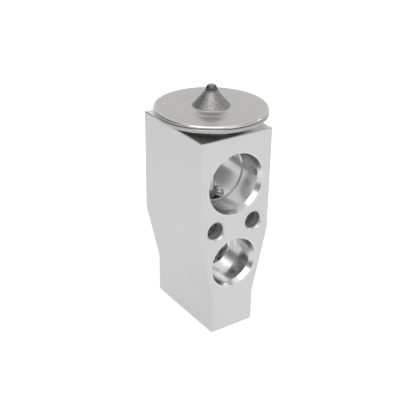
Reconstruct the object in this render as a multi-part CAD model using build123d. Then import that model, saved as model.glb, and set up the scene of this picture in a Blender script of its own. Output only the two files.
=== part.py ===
from build123d import *
import math
import os

# A block-type expansion valve for a refrigerant circuit. Sizes are in millimetres, angles in degrees.
# It stands on the block's bottom face, z = 0. The valve axis is vertical, at x = 0 and y = 0.
# The front face has the suction and outlet ports and looks along -Y. The back face has the
# suction and inlet ports.

# Block: a profile cut to length, wide above and tapered below, not quite the same on both sides
block_height = 71.0
block_width = 27.2
block_depth = 34.0
axis_from_front = 15.0
foot_half_left = 8.5
foot_half_right = 8.4
taper_foot_left = 14.2
taper_foot_right = 11.7
taper_top_left = 35.7
taper_top_right = 34.7
edge_break = 0.25

# Suction passage: a bore for the pipe end at each face, and a narrower passage between them
suction_height = 54.3
suction_bore_dia = 19.3
suction_bore_depth = 9.6
suction_passage_dia = 18.4
suction_step_length = 0.4
suction_lead_in = 0.9
port_lead_length = 1.75
port_ring_width = 0.75
port_ring_depth = 0.12

# Outlet port in the front face, which ends in the outlet chamber round the rod
outlet_height = 25.4
outlet_bore_dia = 15.7
outlet_bore_depth = 9.6
outlet_step_dia = 15.2
outlet_step_length = 0.25
outlet_lead_in = 1.0
outlet_floor_angle = 180.0
outlet_hole_dia = 9.6
outlet_hole_past_axis = 3.0

# Inlet port in the back face, which opens into the ball chamber
inlet_height = 14.0
inlet_bore_dia = 12.8
inlet_bore_depth = 9.0
inlet_step_dia = 11.2
inlet_step_length = 0.8
inlet_lead_in = 0.8
inlet_hole_dia = 5.0
port_hole_chamfer = 0.3
drill_point_angle = 118.0

# Two through holes for the clamping bolts
bolt_hole_dia = 6.0
bolt_spacing = 15.0
bolt_height = 39.2
bolt_hole_chamfer = 0.5

# Operating rod and what guides and seals it between the two passages
rod_dia = 3.2
rod_tip_dia = 1.8
rod_tip_length = 3.9
rod_clearance = 0.04
guide_hole_dia = 3.8
guide_bush_dia = 5.8
guide_bush_end_gap = 0.1
guide_shoulder = 1.8
seal_pocket_dia = 6.8
seal_pocket_depth = 3.1
rod_seal_height = 1.5
washer_thickness = 0.7
gland_recess_dia = 9.2
gland_recess_depth = 3.6
gland_thickness = 1.1
gland_hole_dia = 4.0
gland_slot_width = 1.2
gland_slot_depth = 0.5
gland_thread_pitch = 1.2
gland_thread_depth = 0.45
gland_thread_turns = 3

# Valve seat, ball, carrier and the ring that damps them
seat_roof = 1.2
seat_insert_dia = 7.2
seat_insert_height = 2.4
seat_cone_depth = 1.0
seat_passage_dia = 5.2
orifice_dia = 3.2
ball_dia = 5.0
ball_chamber_dia = 9.8
ball_chamber_height = 4.4
carrier_dia = 8.0
carrier_thickness = 1.7
carrier_drop = 1.15
carrier_pocket_flat = 0.8
carrier_boss_dia = 4.8
carrier_boss_length = 2.4
ring_thickness = 0.3
ring_height = 1.4
ring_leaf_angle = 24.0
ring_leaf_height = 0.8
ring_leaves = 3

# Superheat spring, and the adjusting screw with its seal
spring_outer_dia = 7.8
spring_wire_dia = 0.9
spring_coils = 5.0
screw_thread_dia = 13.0
screw_recess = 1.2
screw_length = 9.6
screw_thread_length = 4.4
screw_nose_dia = 11.8
screw_pocket_dia = 8.2
screw_web = 1.0
screw_chamfer = 0.5
socket_across_flats = 6.0
socket_depth = 2.2
thread_hole_depth = 7.4
seal_groove_dia = 9.8
seal_groove_height = 1.4
seal_groove_land = 0.8

# Head: two round covers welded at the rim over a diaphragm
head_dia = 37.3
rim_rise = 4.35
rim_upper_thickness = 0.98
rim_lower_thickness = 1.65
rim_upper_round = 0.5
rim_lower_round = 0.8
crease_depth = 0.75
crease_land = 0.15
crease_half_height = 0.25
weld_depth = 0.35
diaphragm_thickness = 0.15
diaphragm_corrugation = 0.3
cavity_dia = 29.4
cover_wall = 0.7
face_ring_dia = 20.0
face_ring_depth = 0.12
face_ring_width = 0.5
nose_base_dia = 12.7
nose_tip_dia = 4.4
nose_tip_length = 0.5
nose_height = 5.37
nose_fillet = 1.7
nose_edge = 0.15
nose_cavity_dia = 11.0
nose_cavity_top_dia = 4.0
nose_cavity_height = 2.9
charge_hole_dia = 1.8
plug_dia = 3.76
plug_lift = 0.12
plug_flat_rise = 1.43
plug_collar_dia = 4.0
plug_collar_height = 0.22
dish_floor_rise = 2.1
dish_floor_dia = 24.4
dish_wall = 1.1
dish_shoulder_dia = 31.0
hub_inset = 0.4
hub_gap = 0.25
neck_thread_dia = 18.0
neck_bore_dia = 11.2
socket_web = 1.35
neck_end_gap = 0.2
neck_chamfer = 0.6
web_hole_dia = 4.6
head_seal_width = 1.7
head_seal_depth = 1.2
pad_dia = 23.0
pad_thickness = 1.2
pad_hub_dia = 6.4
pad_hub_length = 2.4
pad_socket_roof = 0.7

# Clearances: between faces that seat on each other, and of rings, threads and pressed pieces
seat_gap = 0.02
ring_gap = 0.03
thread_gap = 0.03
overshoot = 1.0

# Places that follow from the sizes above
front = -axis_from_front
back = block_depth - axis_from_front
rod_radius = rod_dia / 2
passage_floor = suction_height - suction_passage_dia / 2
gland_floor = passage_floor - gland_recess_depth
seal_floor = gland_floor - seal_pocket_depth
outlet_floor = outlet_height - outlet_hole_dia / 2
outlet_roof = outlet_height + outlet_hole_dia / 2
bush_floor = outlet_roof + guide_shoulder
seat_top = outlet_floor - seat_roof
chamber_top = seat_top - seat_insert_height
chamber_floor = chamber_top - ball_chamber_height
contact_radius = ball_dia / 2 * math.sin(math.radians(45))
seat_contact = chamber_top + seat_cone_depth - (contact_radius - orifice_dia / 2)
ball_height = seat_contact - contact_radius - seat_gap
ball_top = ball_height + ball_dia / 2
carrier_top = ball_height - carrier_drop
carrier_face = carrier_top - carrier_thickness
screw_top = screw_recess + screw_length
screw_pocket_floor = screw_recess + socket_depth + screw_web
screw_groove_top = screw_top - seal_groove_land
screw_groove_floor = screw_groove_top - seal_groove_height
socket_floor = suction_height + suction_bore_dia / 2 + socket_web
head_seal_floor = block_height - head_seal_depth
head_seal_radius = neck_thread_dia / 2 + head_seal_width
hub_face = block_height + hub_gap
rim_radius = head_dia / 2
rim_height = block_height + rim_rise
crease_radius = rim_radius - crease_depth
diaphragm_top = rim_height + diaphragm_thickness / 2
diaphragm_bottom = rim_height - diaphragm_thickness / 2
cover_top = rim_height + rim_upper_thickness
nose_top = cover_top + nose_height
plug_height = nose_top + plug_lift
plug_flat = plug_height + plug_flat_rise
dish_floor = block_height + dish_floor_rise
pad_top = diaphragm_bottom - seat_gap
pad_face = pad_top - pad_thickness
rod_top = pad_top - pad_socket_roof


def turned(*corners):
    """Solid turned about the valve axis. A corner is (radius, height) or (radius, height, fillet)."""
    points = [corner[:2] for corner in corners]
    fillets = [corner[2] if len(corner) > 2 else 0 for corner in corners]
    outline = FilletPolyline(*points, radius=fillets, close=True)
    return revolve(make_face(Plane.XZ * outline), Axis.Z)


def ring(inner_radius, outer_radius, low, high, fillet_radius=0):
    """Ring of rectangular section about the valve axis, with rounded corners where asked."""
    return turned(
        (inner_radius, low, fillet_radius),
        (outer_radius, low, fillet_radius),
        (outer_radius, high, fillet_radius),
        (inner_radius, high, fillet_radius),
    )


def disc(radius, low, high):
    """Plain round cylinder about the valve axis."""
    return turned((0, low), (radius, low), (radius, high), (0, high))


def drilled_along_y(face, height, cutter):
    """Place a cutter made along +Z, with its mouth at z = 0, to run in from the front or back face."""
    turn = -90 if face == front else 90
    return Location((0, face, height), (turn, 0, 0)) * cutter


def cone_rise(angle):
    """Depth that a cone of this full angle gains for each millimetre of radius."""
    return 1 / math.tan(math.radians(angle / 2))


def port_mouth(bore_radius, lead_in):
    """Cutter corners of a port's mouth: a shallow ring, then the lead-in cone down to the bore."""
    cone_radius = bore_radius + lead_in
    ring_radius = cone_radius + port_ring_width
    return [
        (0, -overshoot),
        (ring_radius, -overshoot),
        (ring_radius, 0),
        (cone_radius, port_ring_depth),
        (bore_radius, port_ring_depth + port_lead_length),
    ]


def stepped_port(bore_dia, bore_depth, lead_in, step_dia, step_length, floor_angle, hole_dia, hole_depth):
    """Cutter for a port: mouth, bore, conical step, floor and a blind hole with a broken edge."""
    hole = hole_dia / 2
    hole_edge = hole + port_hole_chamfer
    floor_depth = bore_depth + step_length + (step_dia / 2 - hole_edge) * cone_rise(floor_angle)
    return turned(
        *port_mouth(bore_dia / 2, lead_in),
        (bore_dia / 2, bore_depth),
        (step_dia / 2, bore_depth + step_length),
        (hole_edge, floor_depth),
        (hole, floor_depth + port_hole_chamfer),
        (hole, hole_depth),
        (0, hole_depth + hole * cone_rise(drill_point_angle)),
    )


def block_profile():
    """Front outline of the block, extruded from the front face to the back face."""
    half = block_width / 2
    outline = Polyline(
        (-foot_half_left, 0),
        (foot_half_right, 0),
        (foot_half_right, taper_foot_right),
        (half, taper_top_right),
        (half, block_height),
        (-half, block_height),
        (-half, taper_top_left),
        (-foot_half_left, taper_foot_left),
        close=True,
    )
    solid = extrude(make_face(Plane.XZ.offset(-back) * outline), block_depth)
    return chamfer(solid.edges(), edge_break)


def suction_cutter():
    bore = suction_bore_dia / 2
    mouth = port_mouth(bore, suction_lead_in)
    far_mouth = [(radius, block_depth - depth) for radius, depth in reversed(mouth)]
    passage = suction_passage_dia / 2
    step_end = suction_bore_depth + suction_step_length
    return turned(
        *mouth,
        (bore, suction_bore_depth),
        (passage, step_end),
        (passage, block_depth - step_end),
        (bore, block_depth - suction_bore_depth),
        *far_mouth,
    )


def bolt_hole_cutter():
    radius = bolt_hole_dia / 2
    return turned(
        (0, -overshoot),
        (radius + bolt_hole_chamfer, -overshoot),
        (radius + bolt_hole_chamfer, 0),
        (radius, bolt_hole_chamfer),
        (radius, block_depth - bolt_hole_chamfer),
        (radius + bolt_hole_chamfer, block_depth),
        (radius + bolt_hole_chamfer, block_depth + overshoot),
        (0, block_depth + overshoot),
    )


def valve_bore_cutter():
    """Bores on the valve axis from the bottom face up to the outlet chamber."""
    thread = screw_thread_dia / 2
    nose = screw_nose_dia / 2 + ring_gap
    chamber = ball_chamber_dia / 2
    return turned(
        (0, -overshoot),
        (thread + screw_chamfer, -overshoot),
        (thread + screw_chamfer, 0),
        (thread, screw_chamfer),
        (thread, thread_hole_depth),
        (nose, thread_hole_depth + thread - nose),
        (nose, chamber_floor),
        (chamber, chamber_floor),
        (chamber, chamber_top),
        (seat_insert_dia / 2, chamber_top),
        (seat_insert_dia / 2, seat_top),
        (seat_passage_dia / 2, seat_top),
        (seat_passage_dia / 2, outlet_height),
        (0, outlet_height),
    )


def rod_bore_cutter():
    """Bores on the valve axis from the outlet chamber up to the suction passage."""
    return turned(
        (0, outlet_height),
        (guide_hole_dia / 2, outlet_height),
        (guide_hole_dia / 2, bush_floor),
        (guide_bush_dia / 2, bush_floor),
        (guide_bush_dia / 2, seal_floor),
        (seal_pocket_dia / 2, seal_floor),
        (seal_pocket_dia / 2, gland_floor),
        (gland_recess_dia / 2, gland_floor),
        (gland_recess_dia / 2, suction_height),
        (0, suction_height),
    )


def gland_thread_groove(height):
    """One turn of the gland's internal thread, as a plain groove in the wall of the recess."""
    wall = gland_recess_dia / 2
    half = gland_thread_pitch / 2 - seat_gap
    return turned(
        (wall - gland_thread_depth, height - half),
        (wall, height - half),
        (wall + gland_thread_depth, height),
        (wall, height + half),
        (wall - gland_thread_depth, height + half),
    )


def head_socket_cutter():
    """Threaded socket for the head's neck, its seal recess and the hole for the rod."""
    return turned(
        (0, suction_height),
        (web_hole_dia / 2, suction_height),
        (web_hole_dia / 2, socket_floor),
        (neck_thread_dia / 2, socket_floor),
        (neck_thread_dia / 2, head_seal_floor),
        (head_seal_radius, head_seal_floor),
        (head_seal_radius, block_height + overshoot),
        (0, block_height + overshoot),
    )


def make_valve_block():
    outlet_depth = axis_from_front + outlet_hole_past_axis
    inlet_depth = back - ball_chamber_dia / 4
    block = block_profile()
    block -= drilled_along_y(front, suction_height, suction_cutter())
    for side in (-1, 1):
        place = Pos(side * bolt_spacing / 2, 0, 0)
        block -= place * drilled_along_y(front, bolt_height, bolt_hole_cutter())
    outlet = stepped_port(
        outlet_bore_dia, outlet_bore_depth, outlet_lead_in,
        outlet_step_dia, outlet_step_length, outlet_floor_angle, outlet_hole_dia, outlet_depth,
    )
    block -= drilled_along_y(front, outlet_height, outlet)
    inlet = stepped_port(
        inlet_bore_dia, inlet_bore_depth, inlet_lead_in,
        inlet_step_dia, inlet_step_length, drill_point_angle, inlet_hole_dia, inlet_depth,
    )
    block -= drilled_along_y(back, inlet_height, inlet)
    block -= valve_bore_cutter()
    block -= rod_bore_cutter()
    block -= head_socket_cutter()
    first_groove = gland_floor + gland_thickness + gland_thread_pitch / 2
    for turn in range(gland_thread_turns):
        block -= gland_thread_groove(first_groove + turn * gland_thread_pitch)
    return block


def make_head_upper_cover():
    """Round cover with a hollow conical nose, and a shallow ring rolled in its top face."""
    nose_base = nose_base_dia / 2
    nose_tip = nose_tip_dia / 2
    ring_radius = face_ring_dia / 2
    clamp = cavity_dia / 2
    ceiling = cover_top - cover_wall
    cover = turned(
        (crease_radius, diaphragm_top),
        (rim_radius - crease_land, rim_height + crease_half_height),
        (rim_radius, rim_height + crease_half_height + crease_land),
        (rim_radius, cover_top, rim_upper_round),
        (ring_radius + face_ring_width, cover_top),
        (ring_radius, cover_top - face_ring_depth),
        (ring_radius - face_ring_width, cover_top),
        (nose_base, cover_top, nose_fillet),
        (nose_tip, nose_top - nose_tip_length, nose_tip_length / 2),
        (nose_tip, nose_top, nose_edge),
        (0, nose_top),
        (0, ceiling + nose_cavity_height),
        (nose_cavity_top_dia / 2, ceiling + nose_cavity_height),
        (nose_cavity_dia / 2, ceiling),
        (clamp, ceiling),
        (clamp, diaphragm_top),
    )
    cover -= disc(charge_hole_dia / 2, ceiling, plug_height)
    cover -= Pos(0, 0, plug_height) * Sphere(plug_dia / 2 + seat_gap)
    return cover


def make_head_lower_cover():
    """Dished cover with a hub that sits over the seal and a neck that screws into the block."""
    neck = neck_thread_dia / 2 - thread_gap
    neck_end = socket_floor + neck_end_gap
    rim_face = rim_height - rim_lower_thickness
    dish_bottom = dish_floor - dish_wall
    hub = head_seal_radius - hub_inset
    return turned(
        (neck_bore_dia / 2, neck_end),
        (neck - neck_chamfer, neck_end),
        (neck, neck_end + neck_chamfer),
        (neck, hub_face),
        (hub, hub_face),
        (hub, dish_bottom - hub_gap),
        (dish_floor_dia / 2, dish_bottom, dish_wall),
        (dish_shoulder_dia / 2, rim_face, dish_wall),
        (rim_radius, rim_face, rim_lower_round),
        (rim_radius, rim_height - crease_half_height - crease_land),
        (rim_radius - crease_land, rim_height - crease_half_height),
        (crease_radius, diaphragm_bottom),
        (cavity_dia / 2, diaphragm_bottom),
        (dish_floor_dia / 2, dish_floor, dish_wall),
        (neck_bore_dia / 2, dish_floor),
    )


def make_head_rim_weld():
    """Weld bead at the bottom of the crease between the covers."""
    rise = (crease_half_height - diaphragm_thickness / 2) / (crease_depth - crease_land)
    half = diaphragm_thickness / 2 + rise * weld_depth
    return turned(
        (crease_radius, diaphragm_bottom),
        (crease_radius + weld_depth, rim_height - half),
        (crease_radius + weld_depth, rim_height + half),
        (crease_radius, diaphragm_top),
    )


def make_diaphragm():
    """Thin disc with one pressed ring between the pad's edge and the clamped rim."""
    centre = (pad_dia + cavity_dia) / 4
    half = (cavity_dia - pad_dia) / 4 - diaphragm_thickness
    crest = diaphragm_corrugation
    return turned(
        (0, diaphragm_bottom),
        (centre - half, diaphragm_bottom),
        (centre, diaphragm_bottom - crest),
        (centre + half, diaphragm_bottom),
        (crease_radius, diaphragm_bottom),
        (crease_radius, diaphragm_top),
        (centre + half, diaphragm_top),
        (centre, diaphragm_top - crest),
        (centre - half, diaphragm_top),
        (0, diaphragm_top),
    )


def make_charge_plug():
    """Ball welded over the charging hole, with a pressed flat on top and a low collar of weld."""
    ball = Pos(0, 0, plug_height) * Sphere(plug_dia / 2)
    ball -= disc(plug_dia, plug_flat, plug_flat + plug_dia)
    collar_low = nose_top + seat_gap
    collar = turned(
        (0, collar_low),
        (plug_collar_dia / 2, collar_low),
        (plug_dia / 2, collar_low + plug_collar_height),
        (0, collar_low + plug_collar_height),
    )
    return ball + collar


def make_head_o_ring():
    inner = neck_thread_dia / 2
    outer = head_seal_radius - ring_gap
    return ring(inner, outer, head_seal_floor, hub_face, (outer - inner) / 3)


def make_diaphragm_pad():
    """Thrust plate under the diaphragm, with a hub that takes the rod's top end."""
    hub = pad_hub_dia / 2
    socket = rod_radius + seat_gap
    return turned(
        (0, rod_top + seat_gap),
        (socket, rod_top + seat_gap),
        (socket, pad_face - pad_hub_length),
        (hub, pad_face - pad_hub_length),
        (hub, pad_face, rod_radius / 4),
        (pad_dia / 2, pad_face, pad_thickness / 3),
        (pad_dia / 2, pad_top, pad_thickness / 3),
        (0, pad_top),
    )


def make_operating_rod():
    """Rod from the pad to the ball, thinner where it passes through the valve seat."""
    tip = rod_tip_dia / 2
    tip_end = ball_top + seat_gap
    shoulder = tip_end + rod_tip_length
    end_chamfer = rod_radius / 5
    return turned(
        (0, tip_end),
        (tip, tip_end),
        (tip, shoulder),
        (rod_radius, shoulder + rod_radius - tip),
        (rod_radius, rod_top - end_chamfer),
        (rod_radius - end_chamfer, rod_top),
        (0, rod_top),
    )


def make_rod_guide_bush():
    outer = guide_bush_dia / 2
    return ring(rod_radius + rod_clearance, outer, bush_floor, seal_floor - guide_bush_end_gap)


def make_rod_o_ring():
    inner = rod_radius + ring_gap
    outer = seal_pocket_dia / 2 - ring_gap
    return ring(inner, outer, seal_floor, seal_floor + rod_seal_height, (outer - inner) / 3)


def make_gland_washer():
    low = seal_floor + rod_seal_height
    outer = seal_pocket_dia / 2 - ring_gap
    return ring(gland_hole_dia / 2, outer, low, low + washer_thickness)


def make_rod_seal_gland():
    """Threaded ring with a short nose that presses on the washer, and a slot for the driver."""
    nose_low = seal_floor + rod_seal_height + washer_thickness
    top = gland_floor + gland_thickness
    gland = turned(
        (gland_hole_dia / 2, nose_low),
        (seal_pocket_dia / 2 - ring_gap, nose_low),
        (seal_pocket_dia / 2 - ring_gap, gland_floor + seat_gap),
        (gland_recess_dia / 2 - thread_gap, gland_floor + seat_gap),
        (gland_recess_dia / 2 - thread_gap, top),
        (gland_hole_dia / 2, top),
    )
    slot = Box(gland_recess_dia, gland_slot_width, 2 * gland_slot_depth)
    return gland - Pos(0, 0, top) * slot


def make_seat_insert():
    """Hard ring pressed in above the ball chamber, with the conical seat in its lower face."""
    orifice = orifice_dia / 2
    outer = seat_insert_dia / 2
    return turned(
        (orifice + seat_cone_depth, chamber_top),
        (outer, chamber_top),
        (outer, seat_top),
        (orifice, seat_top),
        (orifice, chamber_top + seat_cone_depth),
    )


def make_valve_ball():
    return Pos(0, 0, ball_height) * Sphere(ball_dia / 2)


def make_ball_carrier():
    """Cup under the ball, with a boss that centres the spring."""
    contact = ball_height - contact_radius - seat_gap * math.sqrt(2)
    pocket_floor = contact - (contact_radius - carrier_pocket_flat)
    return turned(
        (0, carrier_face - carrier_boss_length),
        (carrier_boss_dia / 2, carrier_face - carrier_boss_length),
        (carrier_boss_dia / 2, carrier_face),
        (carrier_dia / 2, carrier_face),
        (carrier_dia / 2, carrier_top),
        (contact_radius + carrier_top - contact, carrier_top),
        (carrier_pocket_flat, pocket_floor),
        (0, pocket_floor),
    )


def make_anti_vibration_ring():
    """Thin ring round the carrier, with leaves that bear on the chamber wall."""
    inner = carrier_dia / 2 + ring_gap
    outer = inner + ring_thickness
    middle = carrier_top - carrier_thickness / 2
    band = ring(inner, outer, middle - ring_height / 2, middle + ring_height / 2)
    low = middle - ring_leaf_height / 2
    high = middle + ring_leaf_height / 2
    section = Polyline(
        (outer - ring_thickness / 2, low),
        (ball_chamber_dia / 2 - ring_gap, middle),
        (outer - ring_thickness / 2, high),
        close=True,
    )
    leaf = revolve(make_face(Plane.XZ * section), Axis.Z, ring_leaf_angle)
    for turn in range(ring_leaves):
        band += Rot(0, 0, turn * 360 / ring_leaves) * leaf
    return band


def make_superheat_spring():
    """Coil spring with flat ends, between the carrier and the bottom of the screw's pocket."""
    low = screw_pocket_floor + seat_gap
    length = carrier_face - screw_pocket_floor - 2 * seat_gap
    mean_radius = (spring_outer_dia - spring_wire_dia) / 2
    coil_path = Helix(pitch=length / spring_coils, height=length, radius=mean_radius)
    wire = Plane(origin=coil_path @ 0, z_dir=coil_path % 0) * Circle(spring_wire_dia / 2)
    coil = sweep(wire, path=coil_path, is_frenet=True)
    envelope = Cylinder(spring_outer_dia, length, align=(Align.CENTER, Align.CENTER, Align.MIN))
    return Pos(0, 0, low) * (coil & envelope)


def make_adjusting_screw():
    """Hollow screw: spring pocket above, hexagon socket below, and a groove for its seal."""
    thread = screw_thread_dia / 2 - thread_gap
    nose = screw_nose_dia / 2
    groove = seal_groove_dia / 2
    thread_top = screw_recess + screw_thread_length
    screw = turned(
        (0, screw_recess),
        (thread - screw_chamfer, screw_recess),
        (thread, screw_recess + screw_chamfer),
        (thread, thread_top - screw_chamfer),
        (nose, thread_top),
        (nose, screw_groove_floor),
        (groove, screw_groove_floor),
        (groove, screw_groove_top),
        (nose, screw_groove_top),
        (nose, screw_top),
        (screw_pocket_dia / 2, screw_top),
        (screw_pocket_dia / 2, screw_pocket_floor),
        (0, screw_pocket_floor),
    )
    corner_radius = socket_across_flats / math.sqrt(3)
    hexagon = extrude(RegularPolygon(corner_radius, 6), socket_depth + overshoot)
    return screw - Pos(0, 0, screw_recess - overshoot) * hexagon


def make_screw_o_ring():
    inner = seal_groove_dia / 2 + seat_gap
    outer = screw_nose_dia / 2 + ring_gap - seat_gap
    low = screw_groove_floor + seat_gap
    return ring(inner, outer, low, screw_groove_top - seat_gap, (outer - inner) / 3)


parts = {
    "valve_block": make_valve_block(),
    "head_upper_cover": make_head_upper_cover(),
    "head_lower_cover": make_head_lower_cover(),
    "head_rim_weld": make_head_rim_weld(),
    "diaphragm": make_diaphragm(),
    "charge_plug": make_charge_plug(),
    "head_o_ring": make_head_o_ring(),
    "diaphragm_pad": make_diaphragm_pad(),
    "operating_rod": make_operating_rod(),
    "rod_guide_bush": make_rod_guide_bush(),
    "rod_o_ring": make_rod_o_ring(),
    "gland_washer": make_gland_washer(),
    "rod_seal_gland": make_rod_seal_gland(),
    "seat_insert": make_seat_insert(),
    "valve_ball": make_valve_ball(),
    "ball_carrier": make_ball_carrier(),
    "anti_vibration_ring": make_anti_vibration_ring(),
    "superheat_spring": make_superheat_spring(),
    "adjusting_screw": make_adjusting_screw(),
    "screw_o_ring": make_screw_o_ring(),
}

os.makedirs("parts", exist_ok=True)
for name, solid in parts.items():
    export_step(solid, f"parts/{name}.step")
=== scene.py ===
import math

import bmesh
import bpy
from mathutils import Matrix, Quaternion, Vector


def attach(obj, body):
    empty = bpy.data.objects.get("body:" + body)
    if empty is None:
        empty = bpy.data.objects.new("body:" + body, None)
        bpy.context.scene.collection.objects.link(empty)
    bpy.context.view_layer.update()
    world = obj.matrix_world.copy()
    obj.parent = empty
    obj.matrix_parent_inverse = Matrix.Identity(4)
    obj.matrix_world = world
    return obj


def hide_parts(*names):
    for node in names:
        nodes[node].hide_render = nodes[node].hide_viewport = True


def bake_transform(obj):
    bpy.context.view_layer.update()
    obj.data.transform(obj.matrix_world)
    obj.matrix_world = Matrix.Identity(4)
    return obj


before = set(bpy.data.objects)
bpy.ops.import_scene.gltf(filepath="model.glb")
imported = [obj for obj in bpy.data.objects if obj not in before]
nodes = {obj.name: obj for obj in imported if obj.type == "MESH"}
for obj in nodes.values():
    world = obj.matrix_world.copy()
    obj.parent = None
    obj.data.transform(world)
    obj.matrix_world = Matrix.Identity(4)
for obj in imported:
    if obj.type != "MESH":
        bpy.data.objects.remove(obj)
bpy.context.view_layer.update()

MM = 0.001

# Camera, in millimetres in the part's frame
CAMERA_PLACE = (-146.73, -208.66, 169.97)
CAMERA_AIM = (3.29, 5.33, 36.20)
CAMERA_ROLL = math.radians(1.16)
CAMERA_LENS = 72.93

# Heights of the block's bores, and the bolt holes' distance from the middle, in millimetres
SUCTION_HEIGHT = 54.3
OUTLET_HEIGHT = 25.4
INLET_HEIGHT = 14.0
BOLT_HEIGHT = 39.2
BOLT_OFFSET = 7.5

# Where the block's finish changes, in millimetres: round the ports with their lead-ins and round the walls of
# the bolt holes, at a depth between the outlet port and the inlet port behind it, at the step in the suction
# port, whose lower part is dull and has painted shade, and at the top face
SUCTION_FINISH_RADIUS = 11.29
OUTLET_FINISH_RADIUS = 9.59
INLET_FINISH_RADIUS = 7.94
BOLT_FINISH_RADIUS = 3.02
PORTS_PARTING_DEPTH = 6
STEP_DEPTH = -5.2
STEP_HALF_LENGTH = 0.21
STEP_DULL_SHADE_HEIGHTS = (55, 58)
TOP_FACE_HEIGHT = 70.8

# Roughness of the block's surfaces, height of the drill's lines against the milled grain, and the share of
# the drilled walls that is dull and not metallic
TURNED_ROUGHNESS = 0.22
DRILLED_ROUGHNESS = 0.4
DULL_STEP_ROUGHNESS = 0.5
TOP_FACE_ROUGHNESS = 0.28
DRILL_LINE_RELIEF = 20.0
DRILLED_DULL_SHARE = 0.45

# Upper cover of the head, in millimetres and degrees. A point is (radius, height), or (radius, height, fillet
# radius). A ring pressed in the top is (radius, depth, half-width).
COVER_TOP = 76.33
COVER_RADIUS = 18.65
COVER_LIP = ((17.9, 75.43), (18.55, 75.46), (COVER_RADIUS, 75.50))
COVER_RIM = (COVER_RADIUS, COVER_TOP, 0.82)
COVER_RINGS = (
    (17.35, 0.05, 0.25),
    (11.3, 0.04, 0.35),
    (10.0, 0.12, 0.45),
    (8.9, 0.07, 0.35),
    (7.9, 0.05, 0.3),
)
NOSE_TOP = 81.70
NOSE_POINTS = ((6.35, COVER_TOP, 1.7), (2.2, NOSE_TOP - 0.5, 0.25), (2.2, NOSE_TOP, 0.15))
PLUG_HEIGHT = 81.82
PLUG_SEAT_RADIUS = 1.9
PLUG_SEAT_EDGE = 1.896
PLUG_SEAT_STEPS = 6
CHARGE_HOLE_RADIUS = 0.9
COVER_INSIDE = ((CHARGE_HOLE_RADIUS, 78.53), (2.0, 78.53), (5.5, 75.63), (14.7, 75.63), (14.7, 75.43))
ARC_STEPS = 10
TURN_STEPS = 256
COVER_SHARP_ANGLE = 28

# Where the head's finish changes, in millimetres: the polished rim, painted lighter as a highlight, the dull
# nose, painted darker as shade, and the underside, painted darker as shade
RIM_POLISH_AND_HIGHLIGHT_RADIUS = 18.05
RIM_POLISH_AND_HIGHLIGHT_HEIGHT = 75.4
NOSE_FOOT = 76.6
UNDERSIDE_SHADE_HEIGHTS = (73.7, 74.3)

# How much smoother the rim is than the sheet, and the nose's least roughness and the height of its speckle
RIM_SMOOTHER = 0.10
NOSE_ROUGHNESS = 0.46
NOSE_SPECKLE_RELIEF = 16.0

# Heights of the plug's heat tint and of the painted highlight on its flattened top, in millimetres
PLUG_TINT_HEIGHTS = (81.75, 82.1)
PLUG_TOP_HIGHLIGHT_HEIGHT = 83.23

# Superheat spring, in millimetres and degrees. It is made as two stretches, the coils below the split and
# those above it.
SPRING_RADIUS = 3.45
SPRING_WIRE_RADIUS = 0.45
SPRING_COILS = 5
SPRING_SPLIT = 3
COIL_STEPS = 48
WIRE_SIDES = 16
SPRING_SHARP_ANGLE = 50

# Floor: half its width in metres, its tone, and its glow as the camera and as metal see it
FLOOR_HALF_WIDTH = 3.0
FLOOR_TONE = 0.5
FLOOR_GLOW_SEEN = 0.85
FLOOR_GLOW_MIRRORED = 0.36

# Light tent: its radius in metres, a plain level, then oval patches. Each patch is (azimuth, elevation,
# half-width, half-height, level), angles in degrees. Its edge fades out over TENT_FADE of its half-width.
TENT_RADIUS = 2.0
TENT_LEVEL = 0.48
TENT_FADE = 0.6
TENT_PATCHES = (
    (32, 20, 26, 30, 0.74),
    (-42, 24, 26, 22, 0.20),
    (-132, 9, 38, 13, 0.20),
    (0, 89, 20, 20, 0.85),
    (169, 33, 12, 15, 0.92),
)

# Softboxes: (azimuth, elevation, distance, width, height, radiance), in degrees and metres.
# They face the middle of the valve, whose height is in millimetres.
SOFTBOXES = {
    "front_softbox": (-141, 53, 0.9, 0.73, 0.62, 1.05),
    "left_softbox": (-108, 40, 0.9, 0.24, 0.50, 1.05),
    "side_lamp": (106, 21, 0.9, 0.10, 0.10, 5.0),
}
SOFTBOX_AIM_HEIGHT = 45

# Direction up, and the axes that count in a distance from a line along Y or along Z
UP = Vector((0, 0, 1))
ACROSS_Y = (1, 0, 1)
ACROSS_Z = (1, 1, 0)


def towards(azimuth, elevation):
    """Unit vector. Azimuth runs from +Y towards +X, both angles in degrees."""
    level = math.cos(math.radians(elevation))
    return Vector((
        level * math.sin(math.radians(azimuth)),
        level * math.cos(math.radians(azimuth)),
        math.sin(math.radians(elevation)),
    ))


def toned(colour, share, highest=1.0):
    """Colour made lighter or darker by a share, no channel above the highest level."""
    return [min(highest, channel * share) for channel in colour]


# Objects and camera

def link(name, data):
    """New object in the scene."""
    made = bpy.data.objects.new(name, data)
    bpy.context.scene.collection.objects.link(made)
    return made


def link_shape(name, shape):
    """New object in the scene, from a bmesh that is then freed."""
    mesh = bpy.data.meshes.new(name)
    shape.to_mesh(mesh)
    shape.free()
    return link(name, mesh)


def link_smooth_shape(name, shape, sharp_angle):
    """New object from a bmesh, with its normals outwards, smooth but for edges sharper than an angle."""
    bmesh.ops.recalc_face_normals(shape, faces=shape.faces)
    piece = link_shape(name, shape)
    piece.data.shade_smooth()
    piece.data.set_sharp_from_angle(angle=math.radians(sharp_angle))
    return piece


def bridge(shape, ring, following):
    """Faces between two rings that have as many points each."""
    for index, vert in enumerate(ring):
        other = (index + 1) % len(ring)
        shape.faces.new((vert, following[index], following[other], ring[other]))


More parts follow.
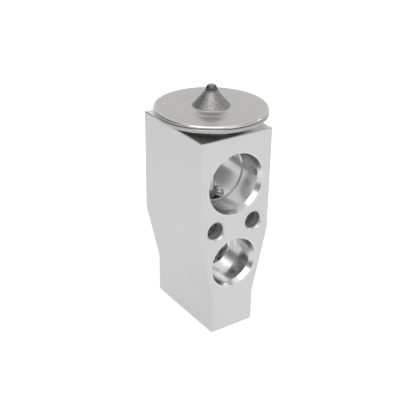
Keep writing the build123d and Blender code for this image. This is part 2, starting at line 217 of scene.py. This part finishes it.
def make_camera():
    camera = link("camera", bpy.data.cameras.new("camera"))
    place = Vector(CAMERA_PLACE) * MM
    aim = Vector(CAMERA_AIM) * MM
    camera.location = place
    camera.rotation_mode = "QUATERNION"
    camera.rotation_quaternion = (aim - place).to_track_quat("-Z", "Y") @ Quaternion(UP, CAMERA_ROLL)
    camera.data.lens = CAMERA_LENS
    camera.data.sensor_width = 36
    camera.data.clip_start = 0.01
    camera.data.clip_end = 20
    bpy.context.scene.camera = camera


# Node trees and materials

class Tree:
    """Short calls to add and link nodes in a material's node tree."""

    def __init__(self, owner):
        owner.use_nodes = True
        self.nodes = owner.node_tree.nodes
        self.links = owner.node_tree.links

    def add(self, kind, settings=None, **inputs):
        """New node. An input is given by its name, or by i and its number."""
        node = self.nodes.new(kind)
        for key, value in (settings or {}).items():
            setattr(node, key, value)
        for key, value in inputs.items():
            self.set(node, key.replace("_", " "), value)
        return node

    def set(self, node, key, value):
        """Give an input a number, or link it to a socket."""
        numbered = key[0] == "i" and key[1:].isdigit()
        socket = node.inputs[int(key[1:])] if numbered else node.inputs[key]
        if isinstance(value, bpy.types.NodeSocket):
            self.links.new(value, socket)
        else:
            socket.default_value = value

    def math(self, operation, first, second=0.0, third=0.0):
        node = self.add("ShaderNodeMath", {"operation": operation}, i0=first, i1=second, i2=third)
        return node.outputs[0]

    def times(self, first, second):
        return self.math("MULTIPLY", first, second)

    def below(self, value, limit_mm):
        """1 where a value in metres is under the limit, 0 elsewhere."""
        return self.math("LESS_THAN", value, limit_mm * MM)

    def above(self, value, limit_mm):
        """1 where a value in metres is over the limit, 0 elsewhere."""
        return self.math("GREATER_THAN", value, limit_mm * MM)

    def ramp(self, value, low, high, start=0.0, end=1.0):
        """Smooth step of value, from start at low to end at high."""
        node = self.add("ShaderNodeMapRange", {"interpolation_type": "SMOOTHSTEP"})
        limits = {"Value": value, "From Min": low, "From Max": high, "To Min": start, "To Max": end}
        for key, number in limits.items():
            self.set(node, key, number)
        return node.outputs[0]

    def fade_out(self, height, heights_mm):
        """1 below the first height and 0 above the second."""
        return self.ramp(height, heights_mm[0] * MM, heights_mm[1] * MM, start=1.0, end=0.0)

    def noise(self, coords, scale, detail=2.0, roughness=0.5):
        node = self.add("ShaderNodeTexNoise", Vector=coords, Scale=scale, Detail=detail, Roughness=roughness)
        return node.outputs["Fac"]

    def noise_along(self, value, scale, detail=2.0):
        node = self.add("ShaderNodeTexNoise", {"noise_dimensions": "1D"}, W=value, Scale=scale, Detail=detail)
        return node.outputs["Fac"]

    def scaled(self, coords, factors):
        node = self.add("ShaderNodeVectorMath", {"operation": "MULTIPLY"}, i0=coords, i1=factors)
        return node.outputs[0]

    def length(self, vector):
        return self.add("ShaderNodeVectorMath", {"operation": "LENGTH"}, i0=vector).outputs["Value"]

    def distance(self, coords, centre, mask):
        """Distance in metres from a line along the axis where mask is 0, through centre in millimetres."""
        centre = Vector(centre) * MM
        offset = self.add("ShaderNodeVectorMath", {"operation": "SUBTRACT"}, i0=coords, i1=centre)
        return self.length(self.scaled(offset.outputs[0], mask))

    def mix(self, factor, first, second):
        """First number where the factor is 0, second where it is 1."""
        return self.add("ShaderNodeMix", i0=factor, i2=first, i3=second).outputs[0]

    def mix_colour(self, factor, first, second):
        """First colour where the factor is 0, second where it is 1."""
        node = self.add("ShaderNodeMix", {"data_type": "RGBA"}, i0=factor)
        for socket, value in zip([s for s in node.inputs if s.type == "RGBA"], (first, second)):
            if isinstance(value, bpy.types.NodeSocket):
                self.links.new(value, socket)
            else:
                socket.default_value = (*value, 1)
        return [s for s in node.outputs if s.type == "RGBA"][0]

    def bump(self, shader, height, strength, distance_mm):
        node = self.add("ShaderNodeBump", Height=height, Strength=strength, Distance=distance_mm * MM)
        self.set(shader, "Normal", node.outputs["Normal"])


def new_material(name, metallic, roughness, colour):
    """Material with a Principled shader. Returns the material, its tree, shader and object coordinates."""
    made = bpy.data.materials.new(name)
    tree = Tree(made)
    shader = made.node_tree.nodes["Principled BSDF"]
    shader.inputs["Metallic"].default_value = metallic
    shader.inputs["Roughness"].default_value = roughness
    shader.inputs["Base Color"].default_value = (*colour, 1)
    coords = tree.add("ShaderNodeTexCoord").outputs["Object"]
    return made, tree, shader, coords


def bare_material(name):
    """Material without a shader. Returns the material and its tree."""
    made = bpy.data.materials.new(name)
    tree = Tree(made)
    tree.nodes.remove(tree.nodes["Principled BSDF"])
    return made, tree


def bore_mask(tree, coords, aside, height, radius):
    """1 within a radius of a bore that runs from front to back, 0 outside it."""
    return tree.below(tree.distance(coords, (aside, 0, height), ACROSS_Y), radius)


def turned_mask(tree, coords, depth):
    """1 in the three turned bores, 0 elsewhere. Returned with the suction bore's own mask."""
    suction = bore_mask(tree, coords, 0, SUCTION_HEIGHT, SUCTION_FINISH_RADIUS)
    outlet = bore_mask(tree, coords, 0, OUTLET_HEIGHT, OUTLET_FINISH_RADIUS)
    outlet = tree.times(outlet, tree.below(depth, PORTS_PARTING_DEPTH))
    inlet = bore_mask(tree, coords, 0, INLET_HEIGHT, INLET_FINISH_RADIUS)
    inlet = tree.times(inlet, tree.above(depth, PORTS_PARTING_DEPTH))
    turned = tree.math("MAXIMUM", tree.math("MAXIMUM", suction, outlet), inlet)
    return turned, suction


def aluminium_material():
    """Satin milled block, with smoother turned bores, a dull step low in the suction port whose lower part
    has painted shade, dull drilled bolt holes that show the drill's lines, and a smoother top face."""
    made, tree, shader, coords = new_material(
        "block_aluminium", metallic=1.0, roughness=0.32, colour=(0.86, 0.86, 0.87),
    )
    place = tree.add("ShaderNodeSeparateXYZ", Vector=coords).outputs
    depth = place["Y"]
    turned, suction = turned_mask(tree, coords, depth)
    drilled = 0.0
    for aside in (-BOLT_OFFSET, BOLT_OFFSET):
        hole = bore_mask(tree, coords, aside, BOLT_HEIGHT, BOLT_FINISH_RADIUS)
        drilled = tree.math("MAXIMUM", drilled, hole)
    step = tree.math("ABSOLUTE", tree.math("SUBTRACT", depth, STEP_DEPTH * MM))
    step = tree.times(tree.below(step, STEP_HALF_LENGTH), suction)
    # Painted shade: below these heights the step is made darker grey, as well as rougher
    dull_shaded_step = tree.times(step, tree.fade_out(place["Z"], STEP_DULL_SHADE_HEIGHTS))
    top = tree.above(place["Z"], TOP_FACE_HEIGHT)

    grain = tree.noise(tree.scaled(coords, (1, 0.08, 1)), scale=5200, detail=3, roughness=0.6)
    turning_lines = tree.noise_along(depth, scale=4200, detail=1)
    drill_lines = tree.noise_along(depth, scale=1500, detail=2)
    relief = tree.mix(turned, grain, turning_lines)
    relief = tree.math("ADD", relief, tree.times(tree.times(drill_lines, drilled), DRILL_LINE_RELIEF))
    tree.bump(shader, relief, strength=0.25, distance_mm=0.012)

    cloud = tree.noise(coords, scale=90, detail=3, roughness=0.5)
    milled_tone = tree.mix_colour(cloud, (0.875, 0.877, 0.883), (0.915, 0.915, 0.920))
    turned_tone = tree.mix_colour(cloud, (0.90, 0.90, 0.90), (0.94, 0.94, 0.94))
    drill_tone = tree.mix_colour(tree.ramp(drill_lines, 0.42, 0.58), (0.50, 0.50, 0.50), (0.98, 0.98, 0.98))
    colour = tree.mix_colour(turned, milled_tone, turned_tone)
    colour = tree.mix_colour(drilled, colour, drill_tone)
    # Painted shade on the lower part of the step in the suction port
    colour = tree.mix_colour(dull_shaded_step, colour, (0.50, 0.50, 0.50))
    tree.set(shader, "Base Color", colour)
    tree.set(shader, "Metallic", tree.math("SUBTRACT", 1.0, tree.times(drilled, DRILLED_DULL_SHARE)))

    rough = tree.mix(turned, tree.ramp(cloud, 0.2, 0.8, start=0.34, end=0.40), TURNED_ROUGHNESS)
    rough = tree.math("MAXIMUM", rough, tree.times(drilled, DRILLED_ROUGHNESS))
    rough = tree.math("MAXIMUM", rough, tree.times(dull_shaded_step, DULL_STEP_ROUGHNESS))
    top_limit = tree.math("SUBTRACT", 1.0, tree.times(top, 1.0 - TOP_FACE_ROUGHNESS))
    rough = tree.math("MINIMUM", rough, top_limit)
    tree.set(shader, "Roughness", rough)
    return made


def spun_steel_material(name, colour, roughness):
    """Stainless sheet with fine concentric lines, a polished rim painted lighter as a highlight, and a duller
    nose painted darker as shade, with a speckle. The underside is painted darker as shade.
    """
    made, tree, shader, coords = new_material(name, metallic=1.0, roughness=roughness, colour=colour)
    radius = tree.distance(coords, (0, 0, 0), ACROSS_Z)
    height = tree.add("ShaderNodeSeparateXYZ", Vector=coords).outputs["Z"]
    nose = tree.above(height, NOSE_FOOT)
    rim = tree.times(tree.above(radius, RIM_POLISH_AND_HIGHLIGHT_RADIUS), tree.above(height, RIM_POLISH_AND_HIGHLIGHT_HEIGHT))
    # Painted shade: the covers are made darker below these heights, under the rim
    underside = tree.fade_out(height, UNDERSIDE_SHADE_HEIGHTS)

    lines = tree.noise_along(radius, scale=5200, detail=2)
    grain = tree.noise(coords, scale=2300, detail=2, roughness=0.6)
    speckle = tree.times(grain, tree.times(nose, NOSE_SPECKLE_RELIEF))
    tree.bump(shader, tree.math("ADD", lines, speckle), strength=0.35, distance_mm=0.01)

    bands = tree.noise_along(radius, scale=900, detail=2)
    sheet = tree.mix_colour(bands, toned(colour, 0.88), colour)
    # Painted highlight: the polished rim is made lighter than the sheet
    sheet = tree.mix_colour(rim, sheet, toned(colour, 1.32, highest=0.92))
    # Painted shade: the nose is made darker than the sheet, with a real speckle in its grain
    nose_shade_and_speckle = tree.mix_colour(tree.ramp(grain, 0.4, 0.6), toned(colour, 0.42), toned(colour, 0.80))
    sheet = tree.mix_colour(nose, sheet, nose_shade_and_speckle)
    # Painted shade on the underside of the head
    tree.set(shader, "Base Color", tree.mix_colour(underside, sheet, toned(colour, 0.85)))

    rough = tree.ramp(lines, 0.25, 0.75, start=roughness - 0.05, end=roughness + 0.06)
    rough = tree.math("SUBTRACT", rough, tree.times(rim, RIM_SMOOTHER))
    tree.set(shader, "Roughness", tree.math("MAXIMUM", rough, tree.times(nose, NOSE_ROUGHNESS)))
    return made


def plain_metal_material(name, colour, roughness):
    """Small turned or drawn piece, with a fine grain and slightly uneven tone."""
    made, tree, shader, coords = new_material(name, metallic=1.0, roughness=roughness, colour=colour)
    grain = tree.noise(coords, scale=3000, detail=2, roughness=0.6)
    cloud = tree.noise(coords, scale=350, detail=2, roughness=0.5)
    tree.bump(shader, grain, strength=0.3, distance_mm=0.008)
    tree.set(shader, "Base Color", tree.mix_colour(cloud, toned(colour, 0.8), colour))
    rough = tree.ramp(cloud, 0.2, 0.8, start=roughness - 0.04, end=roughness + 0.08)
    tree.set(shader, "Roughness", rough)
    return made


def soft_material(name, colour, roughness):
    """Rubber or plastic, with a faint mottle."""
    made, tree, shader, coords = new_material(name, metallic=0.0, roughness=roughness, colour=colour)
    grain = tree.noise(coords, scale=2500, detail=3, roughness=0.6)
    tree.bump(shader, grain, strength=0.25, distance_mm=0.01)
    lighter = [min(1.0, channel * 1.3 + 0.01) for channel in colour]
    tree.set(shader, "Base Color", tree.mix_colour(grain, colour, lighter))
    return made


def plug_material():
    """Dark steel ball, with a brown heat tint round its foot and a painted highlight on its flat top."""
    made, tree, shader, coords = new_material(
        "plug_steel", metallic=1.0, roughness=0.38, colour=(0.16, 0.155, 0.15),
    )
    height = tree.add("ShaderNodeSeparateXYZ", Vector=coords).outputs["Z"]
    mottle = tree.noise(coords, scale=2200, detail=3, roughness=0.6)
    tint = tree.fade_out(height, PLUG_TINT_HEIGHTS)
    colour = tree.mix_colour(tint, (0.17, 0.165, 0.16), (0.16, 0.10, 0.07))
    # Painted highlight: the flat top is made lighter than the ball
    colour = tree.mix_colour(tree.above(height, PLUG_TOP_HIGHLIGHT_HEIGHT), colour, (0.34, 0.34, 0.33))
    tree.set(shader, "Base Color", colour)
    tree.set(shader, "Roughness", tree.ramp(mottle, 0.3, 0.7, start=0.30, end=0.50))
    tree.bump(shader, mottle, strength=0.4, distance_mm=0.02)
    return made


def dress_nodes(head):
    """Assign each CAD node its finish."""
    steel = plain_metal_material("inner_steel", (0.52, 0.52, 0.52), 0.3)
    brass = plain_metal_material("turned_brass", (0.62, 0.48, 0.25), 0.3)
    rubber = soft_material("seal_rubber", (0.012, 0.012, 0.012), 0.55)
    finishes = {
        "valve_block": aluminium_material(),
        "head_upper_cover": head,
        "head_lower_cover": head,
        "head_rim_weld": plain_metal_material("weld_steel", (0.20, 0.19, 0.18), 0.45),
        "charge_plug": plug_material(),
        "head_o_ring": rubber,
        "rod_o_ring": rubber,
        "screw_o_ring": rubber,
        "operating_rod": plain_metal_material("rod_steel", (0.62, 0.62, 0.62), 0.18),
        "rod_seal_gland": plain_metal_material("gland_brass", (0.55, 0.50, 0.42), 0.3),
        "gland_washer": soft_material("washer_plastic", (0.7, 0.7, 0.68), 0.5),
        "valve_ball": plain_metal_material("ball_steel", (0.70, 0.70, 0.71), 0.08),
        "superheat_spring": plain_metal_material("spring_steel", (0.40, 0.40, 0.41), 0.3),
        "diaphragm": steel,
        "seat_insert": steel,
        "anti_vibration_ring": steel,
        "diaphragm_pad": brass,
        "rod_guide_bush": brass,
        "ball_carrier": brass,
        "adjusting_screw": brass,
    }
    for name, finish in finishes.items():
        mesh = nodes[name].data
        mesh.materials.clear()
        mesh.materials.append(finish)


# Pieces in place of plainer solids

def rounded(corners):
    """Points of a profile. A corner is (radius, height), and becomes an arc if a fillet radius follows."""
    points = []
    for index, corner in enumerate(corners):
        here = Vector(corner[:2])
        if len(corner) == 2:
            points.append(here)
            continue
        fillet = corner[2]
        before = (Vector(corners[index - 1][:2]) - here).normalized()
        after = (Vector(corners[index + 1][:2]) - here).normalized()
        half_angle = before.angle(after) / 2
        centre = here + (before + after).normalized() * (fillet / math.sin(half_angle))
        first = here + before * (fillet / math.tan(half_angle)) - centre
        last = here + after * (fillet / math.tan(half_angle)) - centre
        for step in range(ARC_STEPS + 1):
            points.append(centre + first.lerp(last, step / ARC_STEPS).normalized() * fillet)
    return points


def lathe(name, profile):
    """Closed turned piece about the valve axis, from a closed profile that stays off the axis."""
    shape = bmesh.new()
    rings = []
    for turn in range(TURN_STEPS):
        angle = 2 * math.pi * turn / TURN_STEPS
        side = Vector((math.cos(angle), math.sin(angle), 0))
        rings.append([shape.verts.new((side * point.x + UP * point.y) * MM) for point in profile])
    for turn, ring in enumerate(rings):
        bridge(shape, ring, rings[(turn + 1) % TURN_STEPS])
    return link_smooth_shape(name, shape, COVER_SHARP_ANGLE)


def make_upper_cover(finish):
    """Upper cover with its rolled rim and pressed rings, in place of the plainer solid."""
    corners = [*COVER_LIP, COVER_RIM]
    for radius, depth, half_width in COVER_RINGS:
        corners.append((radius + half_width, COVER_TOP))
        corners.append((radius, COVER_TOP - depth))
        corners.append((radius - half_width, COVER_TOP))
    corners += NOSE_POINTS
    seat_width = PLUG_SEAT_RADIUS - CHARGE_HOLE_RADIUS
    for step in range(PLUG_SEAT_STEPS + 1):
        across = min(PLUG_SEAT_RADIUS - seat_width * step / PLUG_SEAT_STEPS, PLUG_SEAT_EDGE)
        corners.append((across, PLUG_HEIGHT - math.sqrt(PLUG_SEAT_RADIUS ** 2 - across ** 2)))
    corners += COVER_INSIDE
    cover = lathe("upper_cover_turned", rounded(corners))
    cover.data.materials.append(finish)
    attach(cover, "block")
    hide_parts("head_upper_cover")


def spring_stretch(name, first_coil, last_coil, low, high):
    """The coils from first to last of a spring with its ends ground flat at low and high, in metres."""
    shape = bmesh.new()
    rings = []
    for step in range((last_coil - first_coil) * COIL_STEPS + 1):
        coil = first_coil + step / COIL_STEPS
        middle = low + (high - low) * coil / SPRING_COILS
        outward = Vector((math.cos(2 * math.pi * coil), math.sin(2 * math.pi * coil), 0))
        ring = []
        for side in range(WIRE_SIDES):
            around = 2 * math.pi * side / WIRE_SIDES
            point = outward * (SPRING_RADIUS + SPRING_WIRE_RADIUS * math.cos(around)) * MM
            point.z = min(max(middle + SPRING_WIRE_RADIUS * MM * math.sin(around), low), high)
            ring.append(shape.verts.new(point))
        rings.append(ring)
    for ring, following in zip(rings, rings[1:]):
        bridge(shape, ring, following)
    shape.faces.new(rings[0])
    shape.faces.new(rings[-1])
    return link_smooth_shape(name, shape, SPRING_SHARP_ANGLE)


def make_spring():
    """Superheat spring in two stretches, below and above the split, in place of the solid."""
    solid = nodes["superheat_spring"]
    heights = [(solid.matrix_world @ vert.co).z for vert in solid.data.vertices]
    low, high = min(heights), max(heights)
    stretches = (
        ("spring_lower_coils", 0, SPRING_SPLIT, "screw_seal", low),
        ("spring_upper_coils", SPRING_SPLIT, SPRING_COILS, "valve_stem", high),
    )
    for name, first_coil, last_coil, body, end in stretches:
        piece = spring_stretch(name, first_coil, last_coil, low, high)
        piece.data.materials.append(solid.data.materials[0])
        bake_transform(piece)
        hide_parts("superheat_spring")


# Set and light

def make_floor():
    """White floor that keeps its shadow. The camera and metal see it lit from within as well."""
    shape = bmesh.new()
    bmesh.ops.create_grid(shape, x_segments=1, y_segments=1, size=FLOOR_HALF_WIDTH)
    floor = link_shape("floor", shape)
    made, tree = bare_material("floor_white")
    paths = tree.add("ShaderNodeLightPath").outputs
    mirrored = tree.math("MAXIMUM", paths["Is Glossy Ray"], paths["Is Transmission Ray"])
    glow = tree.times(paths["Is Camera Ray"], FLOOR_GLOW_SEEN)
    glow = tree.math("ADD", glow, tree.times(mirrored, FLOOR_GLOW_MIRRORED))
    tint = tree.add("ShaderNodeBsdfDiffuse", Color=(FLOOR_TONE, FLOOR_TONE, FLOOR_TONE, 1))
    emission = tree.add("ShaderNodeEmission", Strength=glow)
    lit = tree.add("ShaderNodeAddShader", i0=tint.outputs[0], i1=emission.outputs[0])
    tree.set(tree.nodes["Material Output"], "Surface", lit.outputs[0])
    floor.data.materials.append(made)


def oval_mask(tree, direction, azimuth, elevation, half_width, half_height):
    """1 inside an oval on the tent, 0 outside it, with a soft edge."""
    ahead = towards(azimuth, elevation)
    right = ahead.cross(UP).normalized()
    parts = []
    for axis in (ahead, right, right.cross(ahead)):
        dot = tree.add("ShaderNodeVectorMath", {"operation": "DOT_PRODUCT"}, i0=direction, i1=axis)
        parts.append(dot.outputs["Value"])
    across = tree.math("DIVIDE", tree.math("ARCTAN2", parts[1], parts[0]), math.radians(half_width))
    rise = tree.math("DIVIDE", tree.math("ARCSINE", parts[2]), math.radians(half_height))
    offset = tree.add("ShaderNodeCombineXYZ", X=across, Y=rise).outputs[0]
    return tree.ramp(tree.length(offset), 1.0, 1.0 + TENT_FADE, start=1.0, end=0.0)


def make_tent():
    """Light tent round the set, seen by the light and by metal but not by the camera."""
    shape = bmesh.new()
    bmesh.ops.create_icosphere(shape, subdivisions=4, radius=TENT_RADIUS)
    tent = link_shape("light_tent", shape)
    tent.visible_camera = False
    made, tree = bare_material("tent_cloth")
    position = tree.add("ShaderNodeTexCoord").outputs["Object"]
    direction = tree.add("ShaderNodeVectorMath", {"operation": "NORMALIZE"}, i0=position).outputs[0]
    level = TENT_LEVEL
    for azimuth, elevation, half_width, half_height, patch_level in TENT_PATCHES:
        inside = oval_mask(tree, direction, azimuth, elevation, half_width, half_height)
        level = tree.math("MULTIPLY_ADD", inside, tree.math("SUBTRACT", patch_level, level), level)
    glow = tree.add("ShaderNodeEmission", Strength=level)
    tree.set(tree.nodes["Material Output"], "Surface", glow.outputs[0])
    tent.data.materials.append(made)


def make_world():
    world = bpy.data.worlds.new("white")
    bpy.context.scene.world = world
    world.use_nodes = True
    background = world.node_tree.nodes["Background"]
    background.inputs["Color"].default_value = (1, 1, 1, 1)
    background.inputs["Strength"].default_value = 1.0


def make_softbox(name, azimuth, elevation, distance, width, height, radiance):
    """Rectangular lamp that faces the middle of the valve."""
    lamp = bpy.data.lights.new(name, "AREA")
    lamp.shape = "RECTANGLE"
    lamp.size = width
    lamp.size_y = height
    lamp.energy = radiance * math.pi * width * height
    holder = link(name, lamp)
    aim = UP * SOFTBOX_AIM_HEIGHT * MM
    holder.location = aim + towards(azimuth, elevation) * distance
    holder.rotation_mode = "QUATERNION"
    holder.rotation_quaternion = (aim - holder.location).to_track_quat("-Z", "Y")


make_camera()
head_steel = spun_steel_material("head_steel", (0.67, 0.665, 0.655), 0.28)
dress_nodes(head_steel)
make_upper_cover(head_steel)
make_spring()
make_floor()
make_tent()
make_world()
for softbox, settings in SOFTBOXES.items():
    make_softbox(softbox, *settings)

bpy.context.scene.view_settings.view_transform = "Standard"

bpy.context.view_layer.update()
